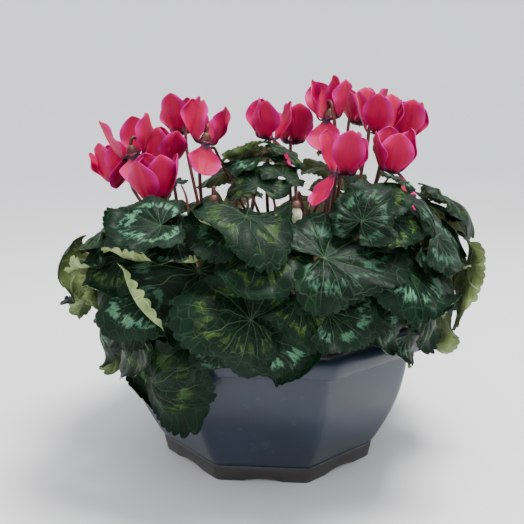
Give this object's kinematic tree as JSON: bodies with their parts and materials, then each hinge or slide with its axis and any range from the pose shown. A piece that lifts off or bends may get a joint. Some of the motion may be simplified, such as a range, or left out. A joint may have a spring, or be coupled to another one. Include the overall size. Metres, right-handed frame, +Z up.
{
  "type": "potted cyclamen",
  "caption": "Flowering cyclamen in a glossy octagonal planter bowl: marbled heart-shaped leaves hang over the rim and pink upswept blooms stand on slim dark stalks.",
  "frame": {"origin": "centre of the pot's flat underside", "axes": "+Z up; the front shown in the picture faces -Y, +X to its right"},
  "size_m": [0.311, 0.3069, 0.3022],
  "materials": {
    "pot": "slate-grey moulded plastic with a satin gloss",
    "soil": "moist dark potting soil",
    "tuber": "corky brown tuber skin",
    "leaf": "waxy blue-green leaf with silver marbling",
    "petal": "crimson-pink petal with a soft sheen",
    "scape": "dark red-brown flower stalk",
    "bud": "cream unopened bud"
  },
  "bodies": {
    "root": {"bloom_01": "petal", "bloom_02": "petal", "bloom_03": "petal", "bloom_04": "petal", "bloom_05": "petal", "bloom_06": "petal", "bloom_07": "petal", "bloom_08": "petal", "bloom_09": "petal", "bloom_10": "petal", "bloom_11": "petal", "bloom_12": "petal", "bloom_13": "petal", "bloom_14": "petal", "bud_01": "bud", "bud_02": "bud", "bud_03": "bud", "leaves_back_01": "leaf", "leaves_back_02": "leaf", "leaves_back_03": "leaf", "leaves_left_01": "leaf", "leaves_left_02": "leaf", "leaves_left_03": "leaf", "leaves_left_04": "leaf", "leaves_left_05": "leaf", "leaves_right_01": "leaf", "leaves_right_02": "leaf", "leaves_right_03": "leaf", "leaves_right_04": "leaf", "leaves_right_05": "leaf", "leaves_right_06": "leaf", "leaves_right_07": "leaf", "pot": "pot", "scape_01": "scape", "scape_02": "scape", "scape_03": "scape", "scape_04": "scape", "scape_05": "scape", "scape_06": "scape", "scape_07": "scape", "scape_08": "scape", "scape_09": "scape", "scape_10": "scape", "scape_11": "scape", "scape_12": "scape", "scape_13": "scape", "scape_14": "scape", "soil": "soil", "tuber_back": "tuber", "tuber_left": "tuber", "tuber_right": "tuber"}
  },
  "joints": []
}
